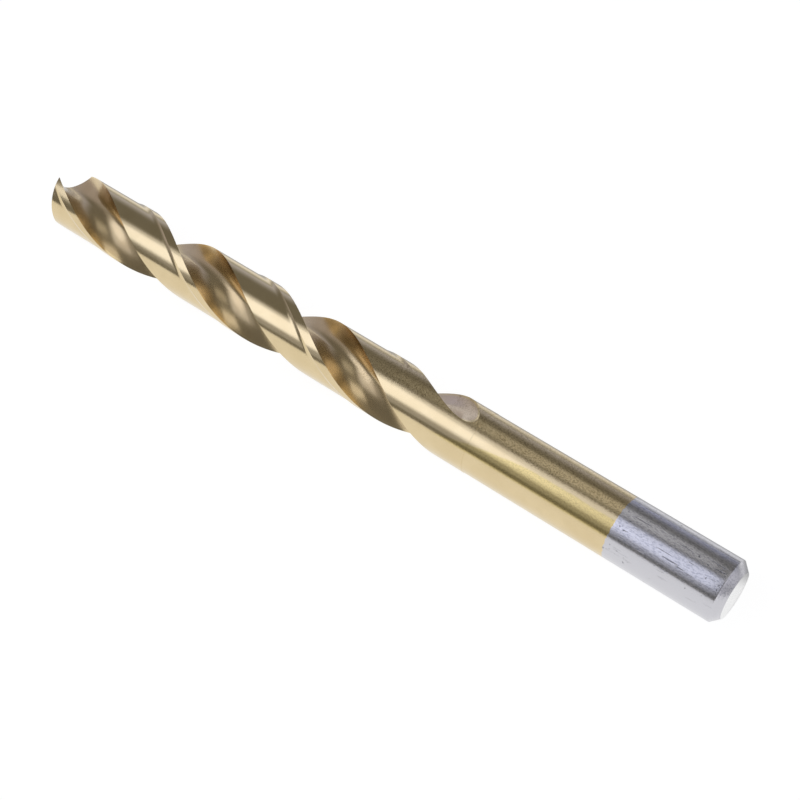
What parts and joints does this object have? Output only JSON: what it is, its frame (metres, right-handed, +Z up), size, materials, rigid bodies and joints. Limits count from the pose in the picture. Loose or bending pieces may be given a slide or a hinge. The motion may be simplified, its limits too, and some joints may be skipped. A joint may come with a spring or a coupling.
{
  "type": "twist drill bit",
  "caption": "Straight-shank twist drill for metal: right-hand helical flutes with narrow margins, conical point, gold-coloured coating and a bare steel shank end.",
  "frame": {"origin": "on the surface the drill lies on, under the middle of its length", "axes": "+X along the drill's axis from the point to the shank end, +Z up, the axis one radius above the origin"},
  "size_m": [0.142, 0.011, 0.011],
  "materials": {
    "coated_steel": "polished high-speed steel with a gold-coloured titanium nitride coating, bare grey steel over the last 20 mm of the shank"
  },
  "bodies": {
    "root": {"drill_bit": "coated_steel"}
  },
  "joints": []
}
